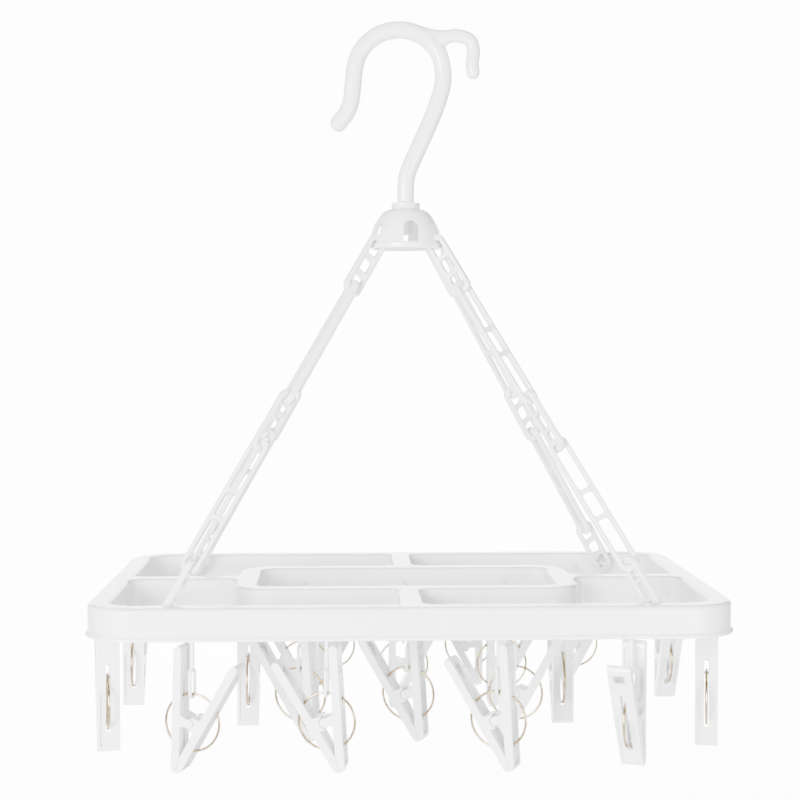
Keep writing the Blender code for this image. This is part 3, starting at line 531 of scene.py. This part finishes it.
def build_frame(finish, stations):
    mesh = bmesh.new()
    foot = FOOT_ROUNDING
    lip_top = -BAR_HEIGHT + LIP_HEIGHT
    outer = rounded_edge(frame_outline, 0, 0, TOP_ROUNDING, True)
    outer += [(frame_outline(-reach), lip_top + rise) for reach, rise in LIP_FILLET]
    outer += [(frame_outline(-LIP_REACH + foot), lip_top + LIP_CROWN),
              (frame_outline(-LIP_REACH), lip_top - foot)]
    outer += rounded_edge(frame_outline, -LIP_REACH, -BAR_HEIGHT, foot, False)[::-1]
    outer += [(frame_outline(WALL), -BAR_HEIGHT), (frame_outline(WALL), -WALL - INSIDE_ROUNDING),
              (frame_outline(WALL + INSIDE_ROUNDING), -WALL)]
    top, underside = rounded_walls(mesh, outer)
    for outline in window_outlines():
        inner = rounded_edge(outline, 0, 0, WINDOW_ROUNDING, True)
        inner += [(outline(0), -INNER_WALL_HEIGHT + foot), (outline(foot), -INNER_WALL_HEIGHT),
                  (outline(WALL), -INNER_WALL_HEIGHT), (outline(WALL), -WALL - INSIDE_ROUNDING),
                  (outline(WALL + INSIDE_ROUNDING), -WALL)]
        first, last = rounded_walls(mesh, inner)
        top += first
        underside += last
    filled(mesh, top)
    filled(mesh, underside)
    mesh.transform(Matrix.Translation((0, 0, FRAME_TOP)))
    moulding = add_object("frame_moulding", mesh)
    # Known fault: the Boolean cuts 10 of these 20 holes. The others' walls stay whole: those of
    # clips 5, 7, 8, 9, 11 and 16 to 19, and the spare station.
    hole = circle((0, 0), STRAP_HOLE_RADIUS)
    through = Matrix.Rotation(math.radians(-90), 4, "X")
    low, high = BAR_WIDTH / 2 - 2 * WALL, BAR_WIDTH / 2 + WALL
    holes = [
        prism(f"strap_hole_{i}", hole, low, high, station @ through)
        for i, station in enumerate(stations)
    ]
    combine(moulding, "DIFFERENCE", holes)
    shaded(moulding, finish)
    placed(moulding, "frame", "white_plastic", "frame")


# ---- hub, hook and retainer ----


def dome_line(radius, crown):
    """(radius, height) points on the dome's curve, from the rim up to near the crown."""
    height = crown - RIM_HIGH
    return [(radius * p[0], RIM_HIGH + height * p[1]) for p in smooth_path(DOME_CURVE, 3)]


def hub_profile():
    rim, chamfer = HUB_ROUNDING, SMALL_CHAMFER
    dome = dome_line(DOME_RADIUS, DOME_CROWN)
    inside = dome_line(DOME_RADIUS - DOME_WALL, DOME_CROWN_UNDERSIDE)[::-1]
    bore = SPIGOT_RADIUS + RUNNING_GAP
    return [
        (DOME_RADIUS - DOME_WALL, RIM_LOW),
        *arc((RIM_RADIUS - rim, RIM_LOW + rim), rim, -90, 0, 4),
        *arc((RIM_RADIUS - rim, RIM_HIGH - rim), rim, 0, 90, 4),
        (DOME_RADIUS + RIM_FILLET, RIM_HIGH),
        *dome[1:],
        (COLLAR_RADIUS + rim, DOME_CROWN - COLLAR_FILLET),
        (COLLAR_RADIUS, DOME_CROWN - chamfer),
        *arc((COLLAR_RADIUS - rim, COLLAR_TOP - rim), rim, 0, 90, 4),
        (bore + chamfer, COLLAR_TOP),
        (bore, COLLAR_TOP - chamfer),
        (bore, DOME_CROWN_UNDERSIDE),
        (RETAINER_RADIUS + rim, DOME_CROWN_UNDERSIDE),
        *inside,
    ]


def dome_window(turn):
    radius = DOME_WINDOW_WIDTH / 2
    low = RIM_HIGH + 0.0005
    spring = low + DOME_WINDOW_HEIGHT - radius
    outline = [Vector((-radius, low)), Vector((radius, low)), *arc((0, spring), radius, 0, 180, 20)]
    upright = Matrix.Rotation(math.radians(turn), 4, "Z") @ Matrix.Rotation(math.radians(90), 4, "X")
    return prism(f"dome_window_{turn}", outline, DOME_RADIUS / 2, DOME_RADIUS * 1.2,
                 Matrix.Translation((0, 0, FRAME_TOP)) @ upright)


def chain_notch(name, azimuth):
    low, over, high = RIM_LOW - DOME_WALL, RIM_HIGH + RUNNING_GAP, NOTCH_TOP
    corners = ((NOTCH_INNER, low), (RIM_BAR_INNER, low), (RIM_BAR_INNER, over),
               (NOTCH_OUTER, over), (NOTCH_OUTER, high), (NOTCH_INNER, high))
    outline = [Vector(corner) for corner in corners]
    upright = Matrix.Rotation(azimuth, 4, "Z") @ Matrix.Rotation(math.radians(90), 4, "X")
    return prism(f"{name}_notch", outline, -NOTCH_WIDTH / 2, NOTCH_WIDTH / 2,
                 Matrix.Translation((0, 0, FRAME_TOP)) @ upright)


def build_hub(finish, lines):
    hub = turned("hub_dome_shell", hub_profile(), 96, Matrix.Translation((0, 0, FRAME_TOP)))
    cutters = [dome_window(DOME_WINDOW_TURN + 90 * i) for i in range(4)]
    cutters += [chain_notch(name, line.azimuth) for name, line in lines.items()]
    combine(hub, "DIFFERENCE", cutters)
    shaded(hub, finish)
    placed(hub, "hub", "white_plastic", "hub_dome")


def build_hook(finish):
    """The rod and its side hook, grown together with a soft web between them."""
    foot = (0, COLLAR_TOP + RUNNING_GAP)
    crest = [tuple(p) for p in arc(HOOK_ARC_CENTRE, HOOK_ARC_RADIUS, HOOK_ARC_START, HOOK_ARC_END, 9)]
    line = smooth_path([foot, *HOOK_RISE, *crest, *HOOK_TAIL], PATH_STEPS)
    path, radii = round_tips(line, HOOK_RADIUS - ROD_INSET, start=False)
    rod = tube("hook_rod", path, radii, ROD_SIDES)
    line = smooth_path(SIDE_HOOK_PATH, PATH_STEPS)
    path, radii = round_tips(line, SIDE_HOOK_RADIUS - ROD_INSET, start=False)
    side_hook = tube("side_hook", path, radii, SIDE_HOOK_SIDES)
    path, radii = round_tips(smooth_path(HOOK_WEB, PATH_STEPS), HOOK_WEB_RADIUS)
    combine(rod, "UNION", [side_hook, tube("hook_web", path, radii, SIDE_HOOK_SIDES)])
    remesh = rod.modifiers.new("grown_together", "REMESH")
    remesh.mode = "VOXEL"
    remesh.voxel_size = ROD_VOXEL
    smooth = rod.modifiers.new("soft_web", "SMOOTH")
    smooth.iterations = ROD_SOFTENING
    baked(rod)
    rod.data.transform(Matrix.Translation((0, 0, FRAME_TOP)))
    shaded(rod, finish, 80, False)
    placed(rod, "hook", "white_plastic", "swivel_hook")
    high = COLLAR_TOP + SPIGOT_OVERLAP
    profile = [
        (0, SPIGOT_LOW), (SPIGOT_RADIUS - SPIGOT_CHAMFER, SPIGOT_LOW),
        (SPIGOT_RADIUS, SPIGOT_LOW + SPIGOT_CHAMFER), (SPIGOT_RADIUS, high), (0, high),
    ]
    spigot = turned("hook_spigot", profile, 40, Matrix.Translation((0, 0, FRAME_TOP)))
    shaded(spigot, finish)
    placed(spigot, "hook", "white_plastic")


def build_retainer(finish):
    bore, high = SPIGOT_RADIUS + RUNNING_GAP, DOME_CROWN_UNDERSIDE - RUNNING_GAP
    edge, chamfer = RETAINER_ROUNDING, SMALL_CHAMFER
    floor_high = SPIGOT_LOW - RUNNING_GAP
    profile = [
        (0, RETAINER_LOW),
        *arc((RETAINER_RADIUS - edge, RETAINER_LOW + edge), edge, -90, 0, 6),
        (RETAINER_RADIUS, high - chamfer), (RETAINER_RADIUS - chamfer, high),
        (bore, high), (bore, floor_high), (0, floor_high),
    ]
    cap = turned("hook_retainer_cap", profile, 48, Matrix.Translation((0, 0, FRAME_TOP)))
    shaded(cap, finish)
    placed(cap, "hook", "white_plastic", "hook_retainer")


# ---- chains ----


class ChainLine:
    """A chain's line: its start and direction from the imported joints, its end from EYE_PLACE."""

    def __init__(self, name):
        swing = JOINTS[f"chain_{name}_swing"]
        slide = JOINTS[f"chain_{name}_long_upper_slide"]
        self.name = name
        self.start = Vector(swing["pos_m"])
        self.down = -Vector(slide["axis"]).normalized()
        self.across = Vector(swing["axis"]).normalized()
        self.outward = self.across.cross(self.down)
        self.azimuth = math.atan2(self.start.y, self.start.x)
        sx, sy = CHAIN_SIDES[name]
        self.end = Vector((sx * EYE_PLACE[0], sy * EYE_PLACE[1], FRAME_TOP - EYE_DEPTH))

    def end_normal(self):
        roll = math.radians(END_ROLLS[self.name])
        return self.across * math.cos(roll) + self.outward * math.sin(roll)


def upright(down, normal):
    """The rotation that lays a plate's length along down and its face towards normal."""
    return Matrix((down, normal.cross(down), normal)).transposed().to_4x4()


def plate_pose(node, down):
    """A CAD plate's middle, face normal and length, from its own points."""
    points = np.array([v.co for v in frame["nodes"][node].data.vertices])
    along = points @ np.array(down)
    spread = points - points.mean(0)
    spread = spread - np.outer(spread @ np.array(down), np.array(down))
    # The directions come with the least spread first: along the line, through the face, across.
    normal = Vector(np.linalg.eigh(spread.T @ spread)[1][:, 1])
    middle = Vector((points.max(0) + points.min(0)) / 2)
    return middle, normal, float(along.max() - along.min())


def plate_mesh(name, length, shares):
    """A flat plate with three rounded windows, along X, its middle at the origin."""
    half = PLATE_WIDTH / 2
    windows, low = [], -length / 2 + PLATE_END
    room = length - 2 * PLATE_END - 2 * PLATE_RAIL
    for share in shares:
        size = room * share / sum(shares)

        def window(inset, size=size, low=low):
            return rectangle(size / 2 + inset, half - PLATE_RAIL + inset,
                             PLATE_WINDOW_CORNER + inset, 6, (low + size / 2, 0))

        windows.append(window)
        low += size + PLATE_RAIL

    def outer(inset):
        return rectangle(length / 2 - inset, half - inset, PLATE_CORNER - inset, 8)

    return slab(name, outer, windows, PLATE_THICKNESS, PLATE_ROUNDING)


def build_chain(line, finish):
    for label in ("short_top", "long_upper", "short_mid", "long_lower"):
        node = f"chain_{line.name}_{label}"
        middle, normal, length = plate_pose(node, line.down)
        shares = (2, 1, 2) if "long" in label else (1, 1, 1)
        plate = plate_mesh(f"{node}_plate", length, shares)
        plate.matrix_world = Matrix.Translation(middle) @ upright(line.down, normal)
        shaded(plate, finish)
        placed(plate, node, "white_plastic", node)
    plate = plate_mesh(f"chain_{line.name}_end_plate", END_PLATE, (1, 1, 1))
    middle = line.end + line.down * (END_BAR_HALF + PLATE_GAP + PLATE_END - END_PLATE / 2)
    plate.matrix_world = Matrix.Translation(middle) @ upright(line.down, line.end_normal())
    shaded(plate, finish)
    placed(plate, "frame", "white_plastic")


def build_eye(line, finish):
    """A staple on the inner wall of the bar, which the chain's end plate hooks on."""
    wall = Vector((line.end.x, math.copysign(FRAME_WIDTH / 2 - BAR_WIDTH, line.end.y), line.end.z))
    inward = Vector((0, -math.copysign(1, wall.y), 0))
    normal = line.end_normal()
    along = (normal - inward * normal.dot(inward)).normalized()
    path = arc((0, 0), EYE_RADIUS, 0, 180, 24)
    root = Vector((0, WALL * 0.7))
    path = [path[0] - root, *path, path[-1] - root]
    staple = tube(f"frame_eye_{line.name}", path, [EYE_WIRE] * len(path), EYE_SIDES)
    turn = Matrix((along, along.cross(inward), inward)).transposed().to_4x4()
    staple.data.transform(Matrix.Translation(wall) @ turn)
    shaded(staple, finish)
    placed(staple, "frame", "white_plastic")


# ---- clips ----


def outer_line(height):
    return JAW_SLOPE * height + JAW_OUTER


def inner_line(height):
    return max(JAW_SLOPE * height + JAW_INNER, TIP_GAP)


def side_plate(name, profile, half_width):
    """A solid from an outline of (height, aside) points, across the clip: +X aside, +Z up."""
    stood = Matrix(((0, 1, 0, 0), (0, 0, 1, 0), (1, 0, 0, 0), (0, 0, 0, 1)))
    return prism(name, [Vector(p) for p in profile], -half_width, half_width, stood)


def through_cut(name, outline, low, high, slant=0):
    """A cutter whose outline, (across, height) points, runs aside from low to high."""
    laid = Matrix(((0, 0, 1, 0), (1, 0, 0, 0), (0, 1, 0, 0), (0, 0, 0, 1)))
    lean = Matrix(((1, 0, slant, 0), (0, 1, 0, 0), (0, 0, 1, 0), (0, 0, 0, 1)))
    return prism(name, outline, low, high, lean @ laid)


def jaw_mesh(name, hinge_outline):
    """A jaw and its handle: tapered tip, pivot web, spring slot, panel and grooves."""
    top = CLIP_LENGTH
    web_low, web_high = hinge_outline[0][0], hinge_outline[-1][0]
    outer_end = outer_line(top)
    corner_down, corner_out = CROWN_CORNER
    crown = [(top - CROWN_START, outer_line(top - CROWN_START))]
    crown += [(top - down, outer_end - back) for down, back in CROWN_OUTER]
    crown += [(top - corner_down, inner_line(top) + corner_out)]
    crown += [(top - down, inner_line(top - down) + out) for down, out in CROWN_INNER]
    tip = [(0.0004, TIP_GAP), (0, TIP_GAP + 0.0005), (0.0001, JAW_OUTER - 0.0012),
           (0.0008, JAW_OUTER - 0.0004), (0.0024, outer_line(0.0024))]
    profile = [*tip, *crown, (web_high, inner_line(web_high)), *reversed(hinge_outline),
               (web_low, inner_line(web_low)), (TIP_FLAT, TIP_GAP)]
    body = side_plate(name, profile, CLIP_WIDTH / 2)
    bevelled(body, JAW_EDGE, 3, 35)
    slot = rectangle(SLOT_WIDTH / 2, (SLOT_HIGH - SLOT_LOW) / 2, SLOT_WIDTH / 2 - 0.0002, 8,
                     (0, (SLOT_HIGH + SLOT_LOW) / 2))
    cutters = [through_cut("slot", slot, -0.006, 0.030)]
    panel = rectangle(CLIP_WIDTH / 2 - PANEL_MARGIN, (PANEL_HIGH - PANEL_LOW) / 2, PANEL_CORNER, 5,
                      (0, (PANEL_HIGH + PANEL_LOW) / 2))
    face = JAW_OUTER + CUT_REACH
    cutters.append(through_cut("panel", panel, JAW_OUTER - PANEL_DEPTH, face, JAW_SLOPE))
    for height in GROOVE_HEIGHTS:
        groove = rectangle(CLIP_WIDTH / 2 - GROOVE_MARGIN, GROOVE_HALF, 0.0003, 3, (0, height))
        cutters.append(through_cut("groove", groove, JAW_OUTER - GROOVE_DEPTH, face, JAW_SLOPE))
    grip_high = top - GRIP_TOP_GAP
    grip = rectangle(CLIP_WIDTH / 2 - GRIP_MARGIN, (grip_high - GRIP_LOW) / 2, GRIP_CORNER, 8,
                     (0, (grip_high + GRIP_LOW) / 2))
    cutters.append(through_cut("grip", grip, JAW_INNER - CUT_REACH, JAW_INNER + GRIP_DEPTH, JAW_SLOPE))
    # Known fault: the Boolean doesn't cut this round hole, and the handle stays whole there.
    hole = circle((0, GRIP_HOLE_HEIGHT), GRIP_HOLE_RADIUS)
    cutters.append(
        through_cut("grip_hole", hole, JAW_INNER - HOLE_REACH, JAW_OUTER + HOLE_REACH, JAW_SLOPE))
    for cutter in cutters:
        combine(body, "DIFFERENCE", [cutter])
    return body


def nose_outline():
    nose = [tuple(p) for p in arc((PIVOT_HEIGHT, 0), NOSE_RADIUS, 180, 360, 16)]
    return [(PIVOT_HEIGHT - 0.0035, 0.0046), (PIVOT_HEIGHT - 0.0024, 0.0015), *nose,
            (PIVOT_HEIGHT + 0.0024, 0.0015), (PIVOT_HEIGHT + 0.0035, 0.0062)]


def seat_outline():
    seat = arc((PIVOT_HEIGHT, 0), NOSE_RADIUS + SEAT_GAP, 165, 15, 14)
    reach, lip = NOSE_RADIUS + 0.0015, seat[0][1]
    return [(PIVOT_HEIGHT - reach, lip), *[tuple(p) for p in seat], (PIVOT_HEIGHT + reach, lip)]


def spring_mesh():
    """The wire ring, open at the bottom, about its own centre, in the clip's upright frame."""
    start = 270 + SPRING_GAP_ANGLE
    path = arc((0, 0), SPRING_RADIUS, start, start + 360 - 2 * SPRING_GAP_ANGLE, 96)
    path, radii = round_tips(path, SPRING_WIRE * 0.97, steps=3)
    return tube("spring_ring", path, radii, 14)


def strap_mesh():
    """The strap: a slim shaft with a loop below it."""
    loop_low = SPRING_RADIUS - SPRING_DROP - SPRING_WIRE - LOOP_BAR
    loop_middle = loop_low + LOOP_HEIGHT / 2

    def outer(inset):
        return rectangle(LOOP_WIDTH / 2 - inset, LOOP_HEIGHT / 2 - inset, LOOP_CORNER - inset, 10)

    def inner(inset):
        return rectangle(LOOP_WIDTH / 2 - LOOP_BAR + inset, LOOP_HEIGHT / 2 - LOOP_BAR + inset,
                         LOOP_WINDOW_CORNER + inset, 8)

    loop = slab("strap_loop", outer, [inner], LOOP_BAR, LOOP_ROUNDING)
    face = Matrix(((0, 0, 1, 0), (1, 0, 0, 0), (0, 1, 0, 0), (0, 0, 0, 1)))
    loop.data.transform(Matrix.Translation((0, 0, loop_middle)) @ face)
    half = STRAP_SHAFT / 2
    foot = loop_middle + LOOP_HEIGHT / 2 - LOOP_BAR / 2
    shaft = prism("strap_shaft", rectangle(half, half, STRAP_CORNER, 4), foot, STRAP_RISE - 0.0004)
    combine(loop, "UNION", [shaft])
    return loop


def prong_mesh():
    """The prong's profile, turned about the strap hole's axis: a shank and a barbed head."""
    r, end = PRONG_RADIUS, PRONG_LENGTH
    profile = [(0, 0), (r, 0), (r, end - 0.0026), (r * PRONG_HEAD, end - 0.0023),
               (r, end - 0.0004), (r * 0.7, end), (0, end)]
    return turned("strap_prong", profile, 24, Matrix.Rotation(math.radians(-90), 4, "X"))


def station_of(joint):
    """The strap's frame: +Y through the wall along the swing's axis, +Z up."""
    through = Vector(joint["axis"]).normalized()
    along = through.cross(Vector((0, 0, 1)))
    turn = Matrix((along, through, Vector((0, 0, 1)))).transposed().to_4x4()
    return Matrix.Translation(joint["pos_m"]) @ turn


class ClipPose:
    """A clip's place, read from its swing and squeeze joints."""

    def __init__(self, name):
        swing, squeeze = JOINTS[f"{name}_swing"], JOINTS[f"{name}_squeeze"]
        self.station = station_of(swing)
        centre = Vector(swing["pos_m"]) - Vector((0, 0, SPRING_DROP))
        lift = PIVOT_HEIGHT - SPRING_HEIGHT
        self.up = ((Vector(squeeze["pos_m"]) - centre) / lift).normalized()
        depth = -Vector(squeeze["axis"]).normalized()
        self.out = depth.cross(self.up).normalized()
        self.depth = self.up.cross(self.out)
        turn = Matrix((self.out, self.depth, self.up)).transposed().to_4x4()
        self.spring = Matrix.Translation(centre) @ turn
        self.jaws = self.spring @ Matrix.Translation((0, 0, -SPRING_HEIGHT))
        level = Vector((self.out.x, self.out.y, 0)).normalized()
        facing = Vector((0, 0, 1)).cross(level)
        wall = self.station.col[1].to_3d()
        side = 1 if facing.dot(wall) >= 0 else -1
        strap_turn = Matrix((level * side, facing * side, Vector((0, 0, 1)))).transposed().to_4x4()
        self.strap = Matrix.Translation(swing["pos_m"]) @ strap_turn


def build_clips(plastic, wire):
    half_turn = Matrix.Rotation(math.pi, 4, "Z")
    nose = shaded(jaw_mesh("nose_jaw", nose_outline()), plastic, 30)
    seat = shaded(jaw_mesh("seat_jaw", seat_outline()), plastic, 30)
    spring = shaded(spring_mesh(), wire, 60, False)
    strap = shaded(strap_mesh(), plastic, 45)
    prong = shaded(prong_mesh(), plastic, 40)
    patterns = (nose, seat, spring, strap, prong)
    names = sorted(joint[: -len("_squeeze")] for joint in JOINTS if joint.endswith("_squeeze"))
    for name in names:
        pose = ClipPose(name)
        hung, free = f"{name}_hung", f"{name}_free"
        pieces = (
            ("nose_jaw", nose, pose.jaws @ half_turn, hung, "white_plastic", [f"{name}_hung_jaw"]),
            ("seat_jaw", seat, pose.jaws, free, "white_plastic", [f"{name}_free_jaw"]),
            ("spring_ring", spring, pose.spring, hung, "spring_wire",
             [f"{name}_spring"] if f"{name}_spring" in frame["nodes"] else []),
            ("strap_loop", strap, pose.strap, hung, "white_plastic",
             [f"{name}_strap"] if f"{name}_strap" in frame["nodes"] else []),
            ("strap_prong", prong, pose.station, hung, "white_plastic", []),
        )
        for label, pattern, matrix, body, slot, nodes in pieces:
            piece = pattern.copy()
            piece.name = f"{name}_{label}"
            piece.data = pattern.data.copy()
            piece.data.transform(matrix)
            bpy.context.scene.collection.objects.link(piece)
            placed(piece, body, slot, *nodes)
    for pattern in patterns:
        bpy.data.objects.remove(pattern)
    return names


# ---- studio ----


def build_camera():
    camera = bpy.data.objects.new("camera", bpy.data.cameras.new("camera"))
    bpy.context.scene.collection.objects.link(camera)
    camera.data.sensor_width = 36
    camera.data.lens = CAMERA_LENS
    camera.data.clip_start, camera.data.clip_end = 0.05, 50
    camera.location = CAMERA_PLACE
    camera.rotation_euler = (math.radians(CAMERA_TILT), 0, math.radians(CAMERA_TURN))
    bpy.context.scene.camera = camera


def softbox(name, location, size, power):
    data = bpy.data.lights.new(name, "AREA")
    data.shape = "RECTANGLE"
    data.size, data.size_y = size
    data.energy = power
    light = bpy.data.objects.new(name, data)
    bpy.context.scene.collection.objects.link(light)
    light.location = location
    direction = Vector(LIGHT_AIM) - Vector(location)
    light.rotation_euler = direction.to_track_quat("-Z", "Y").to_euler()


def sheet(name, line, half_width, finish):
    """A sheet of paper along a line of (y, z) points."""
    mesh = bmesh.new()
    rows = [[mesh.verts.new((x, y, z)) for y, z in line] for x in (-half_width, half_width)]
    for i in range(len(line) - 1):
        mesh.faces.new((rows[0][i], rows[1][i], rows[1][i + 1], rows[0][i + 1]))
    obj = add_object(name, mesh)
    obj.data.materials.append(finish)
    obj.data.shade_smooth()


def build_backdrop():
    """A pale floor, and behind it a glowing sheet that bends up into a wall."""
    low = FRAME_TOP - FLOOR_DROP
    sheet("floor", [(FLOOR_NEAR, low), (FLOOR_FAR, low)], FLOOR_HALF_WIDTH, paper("floor_paper", 0))
    bend = arc((BACKDROP_BEND, low + BACKDROP_RADIUS), BACKDROP_RADIUS, -90, 0, 24)
    line = [(FLOOR_FAR, low), *bend, (BACKDROP_BEND + BACKDROP_RADIUS, low + BACKDROP_HEIGHT)]
    sheet("backdrop", line, BACKDROP_HALF_WIDTH, paper("backdrop_paper", BACKDROP_GLOW))


def build_world():
    """Room light: bright behind the hanger, dimmer on the camera's side."""
    world = bpy.data.worlds.new("studio")
    world.use_nodes = True
    tree = world.node_tree
    place = tree.nodes.new("ShaderNodeTexCoord")
    split = tree.nodes.new("ShaderNodeSeparateXYZ")
    strength = tree.nodes.new("ShaderNodeMapRange")
    spread = {"From Min": -1, "From Max": 1, "To Min": WORLD_NEAR, "To Max": WORLD_FAR}
    for socket, value in spread.items():
        strength.inputs[socket].default_value = value
    tree.links.new(place.outputs["Generated"], split.inputs["Vector"])
    tree.links.new(split.outputs["Y"], strength.inputs["Value"])
    tree.links.new(strength.outputs["Result"], tree.nodes["Background"].inputs["Strength"])
    tree.nodes["Background"].inputs["Color"].default_value = (1, 1, 1, 1)
    bpy.context.scene.world = world


def build_studio():
    build_backdrop()
    build_world()
    for name, (place, size, power) in SOFTBOXES.items():
        softbox(name, place, size, power)


def main():
    build_camera()
    build_studio()
    frame_white, hub_white, chain_white, jaw_white = (
        moulded_plastic(name, *values) for name, values in PLASTICS.items())
    wire = plated_wire("spring_wire_plating")
    lines = {name: ChainLine(name) for name in CHAIN_SIDES}
    names = build_clips(jaw_white, wire)
    stations = [station_of(JOINTS[f"{name}_swing"]) for name in names]
    spare = Matrix.Rotation(math.pi, 4, "Z") @ station_of(JOINTS["clip_04_swing"])
    build_frame(frame_white, [*stations, spare])
    for line in lines.values():
        build_chain(line, chain_white)
        build_eye(line, frame_white)
    build_hub(hub_white, lines)
    build_hook(hub_white)
    build_retainer(hub_white)


main()
